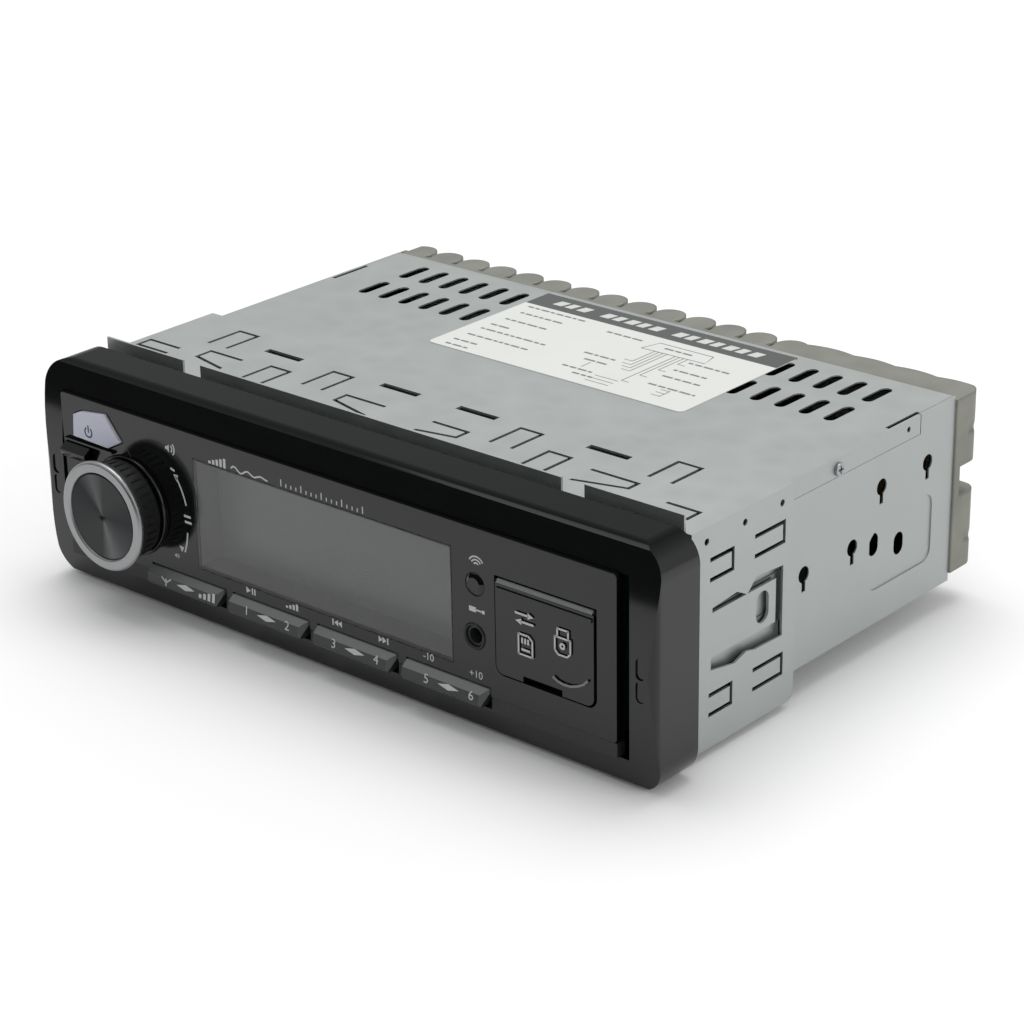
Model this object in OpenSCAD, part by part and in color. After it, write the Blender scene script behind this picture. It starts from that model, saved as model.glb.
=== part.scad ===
// Single-DIN car radio without a disc drive, in its mounting sleeve.
// +X to the right seen from the driver, +Y to the rear, +Z up.
// Origin: centre of the sleeve's mouth, in the plane where it meets the dashboard.

/* [Mounting sleeve] */
// Outer width of the sleeve, the DIN opening in the dashboard
sleeve_w = 182; // [180:0.5:184]
// Outer height of the sleeve
sleeve_h = 53; // [52:0.5:54]
// Depth of the sleeve behind the dashboard plane
sleeve_d = 36; // [34:0.5:40]
// Sheet thickness of the sleeve
sleeve_t = 0.6; // [0.5:0.05:0.7]
// Height of the lips that stop the sleeve at the dashboard
lip_h = 4; // [2:0.5:5]

/* [Chassis] */
// Width of the chassis
chassis_w = 178; // [176:0.5:178.5]
// Depth of the chassis behind the dashboard plane
chassis_d = 104; // [100:1:120]
// Height of the chassis, tray and cover together
chassis_h = 47.3; // [45:0.1:50]
// Sheet thickness of tray, cover and rear plate
sheet_t = 0.8; // [0.6:0.1:1]
// Height of the cover's side flanges
flange_h = 4.8; // [4:0.1:6]
// Distance between the two keyholes of a pair
keyhole_pitch = 19; // [18:0.5:20]
// Radius of a keyhole's round end
keyhole_r = 2; // [1.8:0.1:2.3]

/* [Fascia] */
// Width of the fascia frame
fascia_w = 191; // [188:0.5:192]
// Height of the fascia frame
fascia_h = 57; // [56:0.5:58]
// Distance from the dashboard plane to the face of the front panel
face_y = 18; // [17.5:0.1:18.3]
// Width of the clear display window
window_w = 79.5; // [76:0.5:80]
// Height of the clear display window
window_h = 26.5; // [24:0.5:27]
// Depth of the display behind the panel's face
window_d = 7.8; // [7:0.1:8]

/* [Volume knob] */
// Radius of the silver ring
ring_r = 13.8; // [13:0.1:14]
// How far the knob stands out of the panel
knob_h = 9.7; // [9:0.1:13]
// Number of grip grooves round the knob
grip_count = 36; // [24:1:48]

/* [Keys and door] */
// Width of one rocker key
rocker_w = 24.6; // [23:0.1:25.2]
// Distance from one rocker key to the next
rocker_pitch = 27.8; // [27.4:0.1:28]
// Width of the door over the sockets
door_w = 27.4; // [27:0.1:28]
// Height of the door over the sockets
door_h = 22.6; // [21:0.1:23]

/* [Heat sink] */
// Number of round ribs
rib_count = 14; // [10:1:14]
// Distance between ribs
rib_pitch = 9.5; // [9:0.1:9.6]
// Radius of a rib's end
rib_r = 4.4; // [4:0.1:4.5]

/* [Hidden] */
$fn = 48;

gap = 0.05;             // clearance between pieces that sit together
key_gap = 0.3;          // clearance round a key that moves

// fascia levels along Y and outline in X and Z
frame_back = -3.5;
frame_z = [-28, -28 + fascia_h];
frame_bulge = 0.6;      // the frame's front stands this far out of the panel
frame_edge = -face_y - frame_bulge;
bulge_r = 126;
frame_inner = -15.5;
shell_t = 2.2;
opening_x = 88.7;
opening_z = [-21.3, 21.9];
panel_x = [-88.5, 84.8];
panel_z = [-17.6, 21.8];
panel_back = -15;
board_y = [-7, -5.4];
switch_y = [-10, -7];
plunger_tip = -10.8;
stem_tip = plunger_tip - 0.7;

// display
window_x = [-41.8, -41.8 + window_w];
window_z = [-11.7, -11.7 + window_h];
shroud_t = 0.8;
lens_t = 1;
lcd_t = 1.8;
lcd_front = -face_y + window_d;

// knob
knob_x = -65.5;
knob_z = -2.2;
skirt_r = [12.1, 12.6]; // at the panel and at the ring
ring_t = 1.7;
cap_r = 10.9;
collar_r = [11, 12.8];
shaft_r = 2.95;

// keys
rocker_x0 = -58.8 + rocker_w / 2;
rocker_z = [-20.4, -15.8];
rocker_face = -20.2;
pivot_y = -13.4;
pivot_r = 0.8;
power_points = [[-84, 11.4], [-83.5, 17.2], [-80.7, 18.5], [-72.5, 19.6], [-67.2, 13.5], [-71.6, 11.1]];
power_mid = [-76, 15.2];
sill_x = [-87.2, -70.1];   // thin sill in the panel between the power button and the mode key
sill_z = [9.9, 10.5];
mode_x = [-87.2, -78.4];
mode_z = [5.6, 9.4];

// door and sockets in the panel
door_x = [51.5, 51.5 + door_w];
door_gap = 0.5;
door_top = 11.8;
door_z = [door_top - door_h, door_top];
door_t = 1.8;
hinge_y = -17.3;
hinge_z = door_top - 1.1;
hinge_r = 1.05;
notch_x = [59.2, 70.2];
port_x = 65.3;
usb_z = 4;
card_z = -5;
jack_at = [45, -4.2];
jack_r = 1.8;
eye_at = [45.4, 8.4];
eye_r = 2.7;

// chassis outline
half_w = chassis_w / 2;
lid_z = sleeve_h / 2 - 0.7;
tray_z = lid_z - chassis_h;
tray_front = -3.4;
flange_z = lid_z - flange_h;
flange_end = 89;
cover_screw = [56, lid_z - 3];
keyholes = [[43.5, 1.3], [43.5 + keyhole_pitch, 1.3], [73.8, 12.7], [73.8 + keyhole_pitch, 12.7]];
oblongs = [[71.6, -1.1], [82.1, -4.3]];
vent_pitch = 7.02;
vent_x0 = 73.8;
vent_rows = [78, 93.5];
vent_size = [3, 10.6];
board_z = [tray_z + 5, tray_z + 6.6];
board_x = [-84, 84];
board_d = [8, 99];
board_notch = [42, 89];     // the board stops short here, in front of the rear sockets
board_holes = [[-79, 14], [79, 14], [-79, 92], [79, 82]];

// rear
plate_y = [chassis_d - sheet_t, chassis_d];
sink_y = chassis_d + gap;
sink_base = 3.2;
sink_z = [-19.5, 25];
sink_x = [-89, 89.5];
rib_x0 = -86.5;
block_x = 41;
block_y = chassis_d + 11.2;
cutout_x = [43.5, 83.5];
cutout_z = [-18.2, 13];
iso_x = [43.8, 70.8];
iso_z = [-17.8, 8.8];
iso_y = [board_notch[1] + gap, 110];
iso_wall = 1.2;
iso_depth = 15;
round_x = 77.3;
antenna_z = 6.3;
antenna_r = 4.75;
line_z = [-4.4, -13.6];
chip_x = -30;
sink_screws = [[-60, 2], [0, 2], [86, -12], [86, 16]];

// sleeve tabs: [middle x, front y, rear y]
long_tabs = [
    [-72.2, 19.5, 31], [-33.3, 13, 24.5], [26.4, 12.8, 24.3],
    [67.2, 19, 30.5], [-47.9, 7.5, 17.8], [40.6, 7.3, 17.4]
];
// [open end x, closed end x, front y, rear y, slant of the front slit]
cross_tabs = [
    [-78, -88.5, 8, 12.8, 0], [-59.5, -70.5, 11, 16.3, -2.4], [-10.5, -23, 10.3, 14.9, -3],
    [4.5, 15.4, 10.2, 14.8, -2.2], [51.5, 64.8, 11, 15, -3.8], [76, 85, 5.6, 10.6, -1.1]
];
dashes = [-54.1, -15.4, 9, 48.3];
tab_w = 6.4;
slit = 1;
lips = [[-90, -63], [-57, 55.5], [62, 89]];

// ---- helpers -------------------------------------------------------------

// A block given by its two ends along each axis
module span(x, y, z) {
    translate([x[0], y[0], z[0]])
        cube([x[1] - x[0], y[1] - y[0], z[1] - z[0]]);
}

// A shape drawn in X and Z, made into a plate from y[0] to y[1]
module plate(y) {
    translate([0, y[1], 0])
        rotate([90, 0, 0])
            linear_extrude(y[1] - y[0])
                children();
}

// A shape drawn in Y and Z, made into a plate from x[0] to x[1]
module side_plate(x) {
    translate([x[0], 0, 0])
        rotate([90, 0, 90])
            linear_extrude(x[1] - x[0])
                children();
}

module rect(x, z) {
    translate([x[0], z[0]])
        square([x[1] - x[0], z[1] - z[0]]);
}

// Rectangle with true round corners
module round_rect(x, z, r) {
    rect([x[0] + r, x[1] - r], z);
    rect(x, [z[0] + r, z[1] - r]);
    for (a = [x[0] + r, x[1] - r], b = [z[0] + r, z[1] - r])
        translate([a, b])
            circle(r);
}

// What is cut away to round a plate's rear lower corner
module outer_corner(at, r) {
    difference() {
        rect([at[0] - r, at[0] + 1], [at[1] - 1, at[1] + r]);
        translate([at[0] - r, at[1] + r])
            circle(r);
    }
}

module rod(at, r, y) {
    plate(y)
        translate(at)
            circle(r);
}

module mirrored() {
    children();
    mirror([1, 0, 0])
        children();
}

// ---- fascia --------------------------------------------------------------

module frame_solid() {
    intersection() {
        plate([frame_edge, frame_back])
            round_rect([-fascia_w / 2, fascia_w / 2], frame_z, 7);
        side_plate([-fascia_w, fascia_w])
            intersection() {
                union() {
                    rect([frame_edge + 6, frame_back], frame_z);
                    round_rect([frame_edge, frame_back], frame_z, 6);
                }
                translate([frame_edge + bulge_r, (frame_z[0] + frame_z[1]) / 2])
                    circle(bulge_r, $fn = 96);
            }
        translate([0, 0, frame_z[0] - 1])
            linear_extrude(fascia_h + 2)
                union() {
                    rect([-fascia_w / 2, fascia_w / 2], [frame_edge + 3, frame_back]);
                    round_rect([-fascia_w / 2, fascia_w / 2], [frame_edge, frame_back], 2);
                }
    }
}

module key_slots() {
    for (z = [[-5.7, -0.7], [-0.3, 4.7]])
        plate([frame_edge - 1, frame_edge + 0.4])
            round_rect([opening_x + 1.6, opening_x + 4], z, 1.1);
}

// The right end is an arc, so that it looks straight on the bulging front
module opening_shape() {
    end_r = 155;
    intersection() {
        rect([-opening_x, opening_x], opening_z);
        translate([opening_x - end_r, 0.3])
            circle(end_r);
    }
}

module front_frame() {
    color("#1b1c1d")
        difference() {
            frame_solid();
            difference() {
                span([-fascia_w / 2 + shell_t, fascia_w / 2 - shell_t], [frame_inner, 0],
                    [frame_z[0] + shell_t, frame_z[1] - shell_t]);
                span([panel_x[1] - 0.4, opening_x + 1.2], [frame_inner + 0.2, -11.5],
                    [opening_z[0] - 1, opening_z[1] + 1]);
            }
            plate([frame_edge - 1, frame_inner + 1])
                opening_shape();
            span([-opening_x, panel_x[1] - 0.4], [frame_edge - 1, -11], opening_z);
            plate([frame_edge - 1, -12.7])
                intersection() {
                    opening_shape();
                    rect([panel_x[1] - 0.5, opening_x], opening_z);
                }
            key_slots();
            mirror([1, 0, 0])
                key_slots();
        }
}

module fascia_back() {
    screw_x = 70;
    color("#26272a")
        difference() {
            union() {
                span([-fascia_w / 2 + shell_t + 0.15, fascia_w / 2 - shell_t - 0.15],
                    [frame_back - 1.5, frame_back],
                    [frame_z[0] + shell_t + 0.15, frame_z[1] - shell_t - 0.15]);
                for (x = [-screw_x, screw_x], z = [-14, 14])
                    rod([x, z], 3, [board_y[1] + gap, frame_back]);
            }
            for (x = [-screw_x, screw_x], z = [-14, 14])
                rod([x, z], 1.25, [board_y[1], frame_back + 1]);
            span([-12, 12], [-6, -3], [-9, -3]);
        }
}

module power_outline(s) {
    translate(power_mid)
        scale(s)
            translate(-power_mid)
                polygon(power_points);
}

module rocker_cut(i) {
    x = rocker_x0 + i * rocker_pitch;
    span([x - rocker_w / 2 - key_gap, x + rocker_w / 2 + key_gap], [-face_y - 1, panel_back + 1],
        [rocker_z[0] - key_gap, rocker_z[1] + key_gap]);
}

module front_panel() {
    color("#141516")
        difference() {
            union() {
                plate([-face_y, panel_back])
                    round_rect(panel_x, panel_z, 1);
                span(sill_x, [-face_y - 0.9, -face_y + 1], sill_z);
            }
            plate([-face_y - 1, panel_back + 1])
                rect([window_x[0] - shroud_t - gap, window_x[1] + shroud_t + gap],
                    [window_z[0] - shroud_t - gap, window_z[1] + shroud_t + gap]);
            plate([-face_y - 1, panel_back + 1])
                power_outline(1.04);
            plate([-face_y - 1, panel_back + 1])
                rect([mode_x[0] - key_gap, mode_x[1] + key_gap], [mode_z[0] - key_gap, mode_z[1] + key_gap]);
            rod([knob_x, knob_z], 6, [-face_y - 1, panel_back + 1]);
            rod(jack_at, 3.15, [-face_y - 1, panel_back + 1]);
            rod(eye_at, eye_r + gap, [-face_y - 1, panel_back + 1]);
            for (i = [0:3])
                rocker_cut(i);
            door_pocket();
            span([port_x - 6.6, port_x + 6.6], [-face_y, panel_back + 1], [usb_z - 2.9, usb_z + 2.9]);
            span([port_x - 12.6, port_x + 12.6], [-face_y, panel_back + 1], [card_z - 1.4, card_z + 1.4]);
        }
}

// Pocket for the door, with round holes for its two hinge pins
module door_pocket() {
    floor_y = hinge_y + 1.3;
    x = [door_x[0] - door_gap, door_x[1] + door_gap];
    plate([-face_y - 1, floor_y])
        union() {
            round_rect(x, [door_z[0] - door_gap, door_z[1] - 2], 2.4);
            rect(x, [0, door_z[1] + 0.4]);
        }
    translate([door_x[0] - 1.6, hinge_y, hinge_z])
        rotate([0, 90, 0])
            cylinder(h = door_w + 3.2, r = 0.55);
}

module key_strip() {
    strip_z = [opening_z[0] + 0.1, panel_z[0] - 0.1];
    boss_z = [rocker_z[0] - 0.85, rocker_z[1] + 0.9];
    color("#17181a")
        difference() {
            union() {
                plate([-face_y + 0.2, panel_back])
                    rect(panel_x, strip_z);
                for (i = [0:3], z = [boss_z[0] - 0.05, rocker_z[1] + 0.35])
                    span([rocker_x(i) - 2, rocker_x(i) + 2], [pivot_y - 1.4, pivot_y + 2.4], [z, z + 1]);
                for (i = [0:3])
                    span([rocker_x(i) - 2, rocker_x(i) + 2], [pivot_y + 1.4, pivot_y + 2.4],
                        [boss_z[0] - 0.05, rocker_z[1] + 1.35]);
                for (i = [0:3])
                    span([rocker_x(i) - 2, rocker_x(i) + 2], [panel_back - 0.1, pivot_y + 2.4],
                        [boss_z[0] - 0.05, rocker_z[0] - 0.45]);
            }
            for (i = [0:3])
                rocker_cut(i);
            for (i = [0:3])
                translate([rocker_x(i), pivot_y, boss_z[0] - 1])
                    cylinder(h = 10, r = pivot_r + 0.06);
        }
}

function rocker_x(i) = rocker_x0 + i * rocker_pitch;

module display_lens() {
    color("#8f9496", 0.5)
        plate([-face_y, -face_y + lens_t])
            rect([window_x[0] - shroud_t, window_x[1] + shroud_t], [window_z[0] - shroud_t, window_z[1] + shroud_t]);
}

module display_shroud() {
    color("#54585a")
        difference() {
            plate([-face_y + lens_t, lcd_front])
                rect([window_x[0] - shroud_t, window_x[1] + shroud_t],
                    [window_z[0] - shroud_t, window_z[1] + shroud_t]);
            plate([-face_y, 0])
                rect(window_x, window_z);
        }
}

module lcd_glass() {
    color("#5f6363")
        plate([lcd_front, lcd_front + lcd_t])
            rect([window_x[0] - shroud_t, window_x[1] + shroud_t], [window_z[0] - shroud_t, window_z[1] + shroud_t]);
}

module lcd_backlight() {
    color("#e8e8e0")
        plate([lcd_front + lcd_t, board_y[0]])
            rect(window_x, window_z);
}

switch_places = [
    power_mid, [(mode_x[0] + mode_x[1]) / 2, (mode_z[0] + mode_z[1]) / 2],
    for (i = [0:3], s = [-1, 1]) [rocker_x(i) + s * 9, -18]
];

module front_board() {
    color("#1f5c38")
        difference() {
            plate(board_y)
                rect([-86, 83], [-20.8, 21.4]);
            rod([-86, -20.8], 3, [-8, -5]);
        }
}

module key_switches() {
    color("#3a3b3d")
        for (p = switch_places) {
            span([p[0] - 2.2, p[0] + 2.2], switch_y, [p[1] - 2.2, p[1] + 2.2]);
            rod(p, 0.9, [plunger_tip, switch_y[0] + 0.1]);
        }
}

// ---- volume knob ---------------------------------------------------------

// Turns a profile round the knob's axis; heights count forward from the panel's face
module on_knob_axis() {
    translate([knob_x, -face_y, knob_z])
        rotate([90, 0, 0])
            children();
}

module ring_shape(r, h) {
    translate([0, 0, h[0]])
        difference() {
            cylinder(h = h[1] - h[0], r = r[1]);
            translate([0, 0, -1])
                cylinder(h = h[1] - h[0] + 2, r = r[0]);
        }
}

module knob_collar() {
    color("#3c3e41")
        on_knob_axis()
            rotate_extrude($fn = 96)
                polygon([[collar_r[0], 0], [collar_r[1], 0], [collar_r[1] - 0.3, 0.8], [collar_r[0] + 0.3, 0.8]]);
}

module encoder_housing() {
    color("#8a8d90")
        difference() {
            span([knob_x - 6, knob_x + 6], [-12, board_y[0]], [knob_z - 6, knob_z + 6]);
            rod([knob_x, knob_z], 4.2, [-11, board_y[0] - 0.6]);
            rod([knob_x, knob_z], shaft_r + gap, [-13, -9]);
        }
}

module encoder_bush() {
    color("#b9bcc0")
        difference() {
            rod([knob_x, knob_z], 4.5, [-16.5, -12]);
            rod([knob_x, knob_z], shaft_r + gap, [-20, -10]);
        }
}

module encoder_plunger() {
    color("#e9e4d6")
        rod([knob_x, knob_z], 3.8, [-9.1, -8.3]);
}

module d_shape(r, flat, h) {
    translate([0, 0, h[0]])
        difference() {
            cylinder(h = h[1] - h[0], r = r);
            translate([flat, -r - 1, -1])
                cube([r, 2 * r + 2, h[1] - h[0] + 2]);
        }
}

module encoder_shaft() {
    tip = knob_h - 3.9;
    color("#c9ccd0")
        on_knob_axis() {
            translate([0, 0, 9.2 - face_y])
                cylinder(h = face_y - 9.2 + 1.5, r = shaft_r);
            d_shape(shaft_r, 1.6, [1.4, tip]);
        }
}

module volume_knob() {
    top = knob_h - ring_t;
    color("#1a1a1b")
        on_knob_axis()
            difference() {
                rotate_extrude($fn = 96)
                    polygon([
                        [0, top - 1.8], [0, top], [skirt_r[1], top], [skirt_r[1], top - 1], [skirt_r[0], 1.6],
                        [skirt_r[0] - 1.7, 1.6], [skirt_r[1] - 1.9, top - 1.8]
                    ]);
                for (i = [0:grip_count - 1])
                    rotate([0, 0, i * 360 / grip_count])
                        translate([skirt_r[0] - 0.05, -0.45, 2.4])
                            cube([2, 0.9, top - 4.4]);
            }
    color("#1a1a1b")
        on_knob_axis()
            difference() {
                translate([0, 0, 1.8])
                    cylinder(h = top - 3.4, r = 5.2);
                d_shape(shaft_r + 0.04, 1.65, [1, top - 2.1]);
            }
}

module knob_ring() {
    color("#a9abae")
        on_knob_axis()
            rotate_extrude($fn = 96)
                polygon([
                    [cap_r + gap, knob_h - ring_t + 0.01], [ring_r - 0.5, knob_h - ring_t + 0.01],
                    [ring_r, knob_h - ring_t + 0.5], [ring_r, knob_h - 0.5],
                    [ring_r - 0.5, knob_h], [cap_r + 0.4, knob_h], [cap_r + gap, knob_h - 0.4]
                ]);
}

module knob_cap() {
    color("#2b2b2c")
        on_knob_axis()
            rotate_extrude($fn = 96)
                polygon([
                    [0, knob_h - ring_t + 0.01], [cap_r, knob_h - ring_t + 0.01], [cap_r, knob_h - 0.45],
                    [cap_r - 0.3, knob_h - 0.3], [0, knob_h - 0.55]
                ]);
}

// ---- keys ----------------------------------------------------------------

module power_button() {
    color("#c3c4d0")
        union() {
            plate([-face_y - 0.8, panel_back + 0.4])
                power_outline(1);
            plate([panel_back + 0.05, panel_back + 0.9])
                power_outline(1.1);
            rod(power_mid, 1.2, [panel_back + 0.5, stem_tip]);
        }
}

module mode_key() {
    mid = [(mode_x[0] + mode_x[1]) / 2, (mode_z[0] + mode_z[1]) / 2];
    color("#202123")
        union() {
            side_plate(mode_x)
                polygon([
                    [-face_y - 1.4, mode_z[0]], [-face_y - 2.6, mode_z[0] + 1.6], [-face_y - 2.6, mode_z[1] - 1.5],
                    [-face_y - 0.6, mode_z[1]], [panel_back + 0.4, mode_z[1]], [panel_back + 0.4, mode_z[0]]
                ]);
            span([mode_x[0] - 0.7, mode_x[1] + 0.7], [panel_back + 0.05, panel_back + 0.9],
                [mode_z[0] - 0.7, mode_z[1] + 0.7]);
            rod(mid, 1.2, [panel_back + 0.5, stem_tip]);
        }
}

// A two-way key that tips about a short upright pin behind its middle
module rocker(i) {
    x = rocker_x(i);
    w = rocker_w / 2;
    color("#2a2b2d")
        union() {
            intersection() {
                side_plate([x - w, x + w])
                    polygon([
                        [panel_back, rocker_z[0]], [rocker_face + 0.9, rocker_z[0]], [rocker_face, rocker_z[0] + 0.9],
                        [rocker_face + 0.3, rocker_z[1] - 1.3], [-face_y - 0.3, rocker_z[1]], [panel_back, rocker_z[1]]
                    ]);
                plate([rocker_face - 1, 0])
                    polygon([
                        [x - w, rocker_z[0] - 1], [x + w - 2, rocker_z[0] - 1], [x + w, rocker_z[1] - 1.2],
                        [x + w, rocker_z[1] + 1], [x - w, rocker_z[1] + 1]
                    ]);
                translate([0, 0, rocker_z[0] - 2])
                    linear_extrude(20)
                        polygon([
                            [x - w, 0], [x - w, rocker_face - 1], [x + w - 2.9, rocker_face - 1],
                            [x + w, -face_y - 0.3], [x + w, 0]
                        ]);
            }
            span([x - 1.3, x + 1.3], [panel_back - 0.5, pivot_y + 0.6], [rocker_z[0] + 0.3, rocker_z[1] - 0.3]);
            translate([x, pivot_y, rocker_z[0] - 0.8])
                cylinder(h = rocker_z[1] - rocker_z[0] + 2, r = pivot_r);
            for (s = [-1, 1])
                rod([x + s * 9, -18], 1, [panel_back - 0.5, stem_tip]);
        }
}

module rocker_band() {
    rocker(0);
}

module rocker_1_2() {
    rocker(1);
}

module rocker_3_4() {
    rocker(2);
}

module rocker_5_6() {
    rocker(3);
}

// ---- eye, sockets and door -----------------------------------------------

module ir_sensor() {
    color("#1a0f14")
        intersection() {
            rod(eye_at, eye_r, [-face_y - 0.5, -13.2]);
            translate([eye_at[0], -14.2, eye_at[1]])
                sphere(r = 4.6);
        }
}

module aux_socket() {
    color("#1c1c1d")
        difference() {
            union() {
                span([jack_at[0] - 4, jack_at[0] + 4], [-14, board_y[0]], [jack_at[1] - 3, jack_at[1] + 3]);
                rod(jack_at, 2.4, [-face_y + 0.4, -13.9]);
            }
            rod(jack_at, jack_r, [-face_y - 1, board_y[0] - 1]);
        }
}

module aux_ring() {
    color("#303234")
        on_jack_axis()
            rotate_extrude($fn = 64)
                polygon([[2.45, -2.8], [3.1, -2.8], [3.1, 0.2], [2.85, 0.5], [2.45, 0.1]]);
}

module on_jack_axis() {
    translate([jack_at[0], -face_y, jack_at[1]])
        rotate([90, 0, 0])
            children();
}

module port_door() {
    color("#1d1e20")
        difference() {
            union() {
                plate([hinge_y - hinge_r, hinge_y + 0.75])
                    union() {
                        round_rect(door_x, [door_z[0], hinge_z - 2], 2);
                        rect(door_x, [0, hinge_z + 0.02]);
                    }
                translate([door_x[0], hinge_y, hinge_z])
                    rotate([0, 90, 0])
                        cylinder(h = door_w, r = hinge_r);
                translate([door_x[0] - 1.4, hinge_y, hinge_z])
                    rotate([0, 90, 0])
                        cylinder(h = door_w + 2.8, r = 0.5);
                span([door_x[0] + 0.4, door_x[1] - 0.4], [hinge_y - 1.4, hinge_y], [hinge_z - 1.7, hinge_z - 0.8]);
            }
            span(notch_x, [-face_y - 1, -10], [door_z[0] - 1, door_z[0] + 1.4]);
        }
}

module usb_socket() {
    color("#c4c7ca")
        difference() {
            span([port_x - 6.5, port_x + 6.5], [-15.8, board_y[0]], [usb_z - 2.8, usb_z + 2.8]);
            span([port_x - 6.1, port_x + 6.1], [-17, -8.5], [usb_z - 2.4, usb_z + 0.2]);
            span([port_x - 6.1, port_x + 6.1], [-17, -8.5], [usb_z + 2, usb_z + 2.4]);
            span([port_x - 6.1, port_x - 5.6], [-17, -8.5], [usb_z - 1, usb_z + 2.4]);
            span([port_x + 5.6, port_x + 6.1], [-17, -8.5], [usb_z - 1, usb_z + 2.4]);
        }
}

module card_socket() {
    color("#b3b6b9")
        difference() {
            span([port_x - 12.5, port_x + 12.5], [-15.8, board_y[0]], [card_z - 1.3, card_z + 1.3]);
            span([port_x - 12.1, port_x + 12.1], [-17, -8], [card_z - 1.05, card_z + 1.05]);
        }
}

module ribbon_link() {
    color("#d9d3c0")
        span([-11, 11], [board_y[1], 8.2], [-6.4, -5.8]);
    color("#efeee8")
        span([-11.5, 11.5], [8.2, 12], [board_z[1], -5]);
}

module fascia_screws() {
    color("#9fa3a6")
        for (x = [-70, 70], z = [-14, 14]) {
            rod([x, z], 1.2, [board_y[1] + 0.1, tray_front + sheet_t + 0.1]);
            rod([x, z], 2.3, [tray_front + sheet_t, tray_front + sheet_t + 1.4]);
        }
}

// ---- chassis -------------------------------------------------------------

// Round hole with a narrow slot below it, for a bracket's hooked lug
module keyhole_cut(p) {
    side_plate([half_w - 3, half_w + 1])
        union() {
            translate(p)
                circle(keyhole_r);
            rect([p[0] - 0.7, p[0] + 0.7], [p[1] - 4.2, p[1]]);
        }
}

module oblong_cut(p) {
    side_plate([half_w - 3, half_w + 1])
        union() {
            for (s = [-0.9, 0.9])
                translate([p[0], p[1] + s])
                    circle(1.9);
            rect([p[0] - 1.9, p[0] + 1.9], [p[1] - 0.9, p[1] + 0.9]);
        }
}

module tray_side() {
    inset = half_w - sheet_t - 0.1;
    difference() {
        union() {
            span([half_w - sheet_t, half_w], [tray_front, chassis_d], [tray_z, flange_z - 0.1]);
            span([inset - sheet_t, half_w - 0.2], [tray_front, flange_end + 0.3], [flange_z - 1, flange_z - 0.1]);
            span([inset - sheet_t, inset], [tray_front, flange_end + 0.3], [flange_z - 1, lid_z - sheet_t - 0.1]);
            span([half_w - sheet_t, half_w], [flange_end + 0.3, chassis_d], [flange_z - 1, lid_z]);
            span([inset - sheet_t, half_w], [flange_end + 0.3, flange_end + 1.1], [flange_z - 1, lid_z - sheet_t - 0.1]);
        }
        for (p = keyholes)
            keyhole_cut(p);
        for (p = oblongs)
            oblong_cut(p);
        side_plate([half_w - 3, half_w + 1])
            translate(cover_screw)
                circle(1.35);
        side_plate([half_w - 0.35, half_w + 1])
            difference() {
                round_rect([69.5, 95.5], [-12.8, 4.5], 3);
                translate([69.5, 4.5])
                    rotate(45)
                        square(6, center = true);
            }
    }
}

module chassis_tray() {
    color("#a7abab")
        difference() {
            union() {
                mirrored()
                    tray_side();
                span([-half_w + 0.1, half_w - 0.1], [tray_front, chassis_d], [tray_z, tray_z + sheet_t]);
                span([-half_w + 0.1, half_w - 0.1], [tray_front, tray_front + sheet_t],
                    [tray_z, lid_z - sheet_t - 0.1]);
                for (p = board_holes)
                    translate([p[0], p[1], tray_z + 0.1])
                        cylinder(h = board_z[0] - tray_z - 0.1, r = 3);
            }
            for (p = board_holes)
                translate([p[0], p[1], tray_z - 1])
                    cylinder(h = 10, r = 1.3);
            for (x = [-70, 70], z = [-14, 14])
                rod([x, z], 1.3, [tray_front - 1, tray_front + 2]);
            span([-12, 12], [tray_front - 1, tray_front + 2], [-9, -3]);
            for (i = [0:9])
                span([-33.8 + i * vent_pitch, -31.2 + i * vent_pitch], [60, 80], [tray_z - 1, tray_z + 2]);
        }
}

module vent(x, y) {
    translate([x, y, lid_z - 3])
        linear_extrude(6)
            union() {
                square([vent_size[0], vent_size[1] - vent_size[0]], center = true);
                for (s = [-1, 1])
                    translate([0, s * (vent_size[1] - vent_size[0]) / 2])
                        circle(vent_size[0] / 2);
            }
}

module top_cover() {
    color("#aeb4b5")
        difference() {
            union() {
                span([-half_w, half_w], [1, flange_end], [lid_z - sheet_t, lid_z]);
                span([-half_w + sheet_t + 0.1, half_w - sheet_t - 0.1], [1, chassis_d - sheet_t - 0.1],
                    [lid_z - sheet_t, lid_z]);
                mirrored()
                    span([half_w - sheet_t, half_w], [1, flange_end], [flange_z, lid_z - 0.1]);
            }
            for (i = [0:5], y = vent_rows, s = [-1, 1])
                vent(s * (vent_x0 - i * vent_pitch), y);
            mirrored()
                span([half_w - 1.9, half_w - sheet_t], [77, flange_end + 1], [lid_z - 2, lid_z + 1]);
            mirrored()
                side_plate([half_w - 3, half_w + 1])
                    translate([84.2, lid_z - 2.2])
                        circle(0.7);
            mirrored()
                side_plate([half_w - 3, half_w + 1])
                    translate(cover_screw)
                        circle(1.35);
        }
}

module cover_screws() {
    color("#c8cbcc")
        mirrored()
            union() {
                side_plate([half_w, half_w + 0.7])
                    translate(cover_screw)
                        circle(1.6);
                side_plate([half_w - 2 * sheet_t - 0.05, half_w + 0.1])
                    translate(cover_screw)
                        circle(1.25);
            }
}

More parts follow.
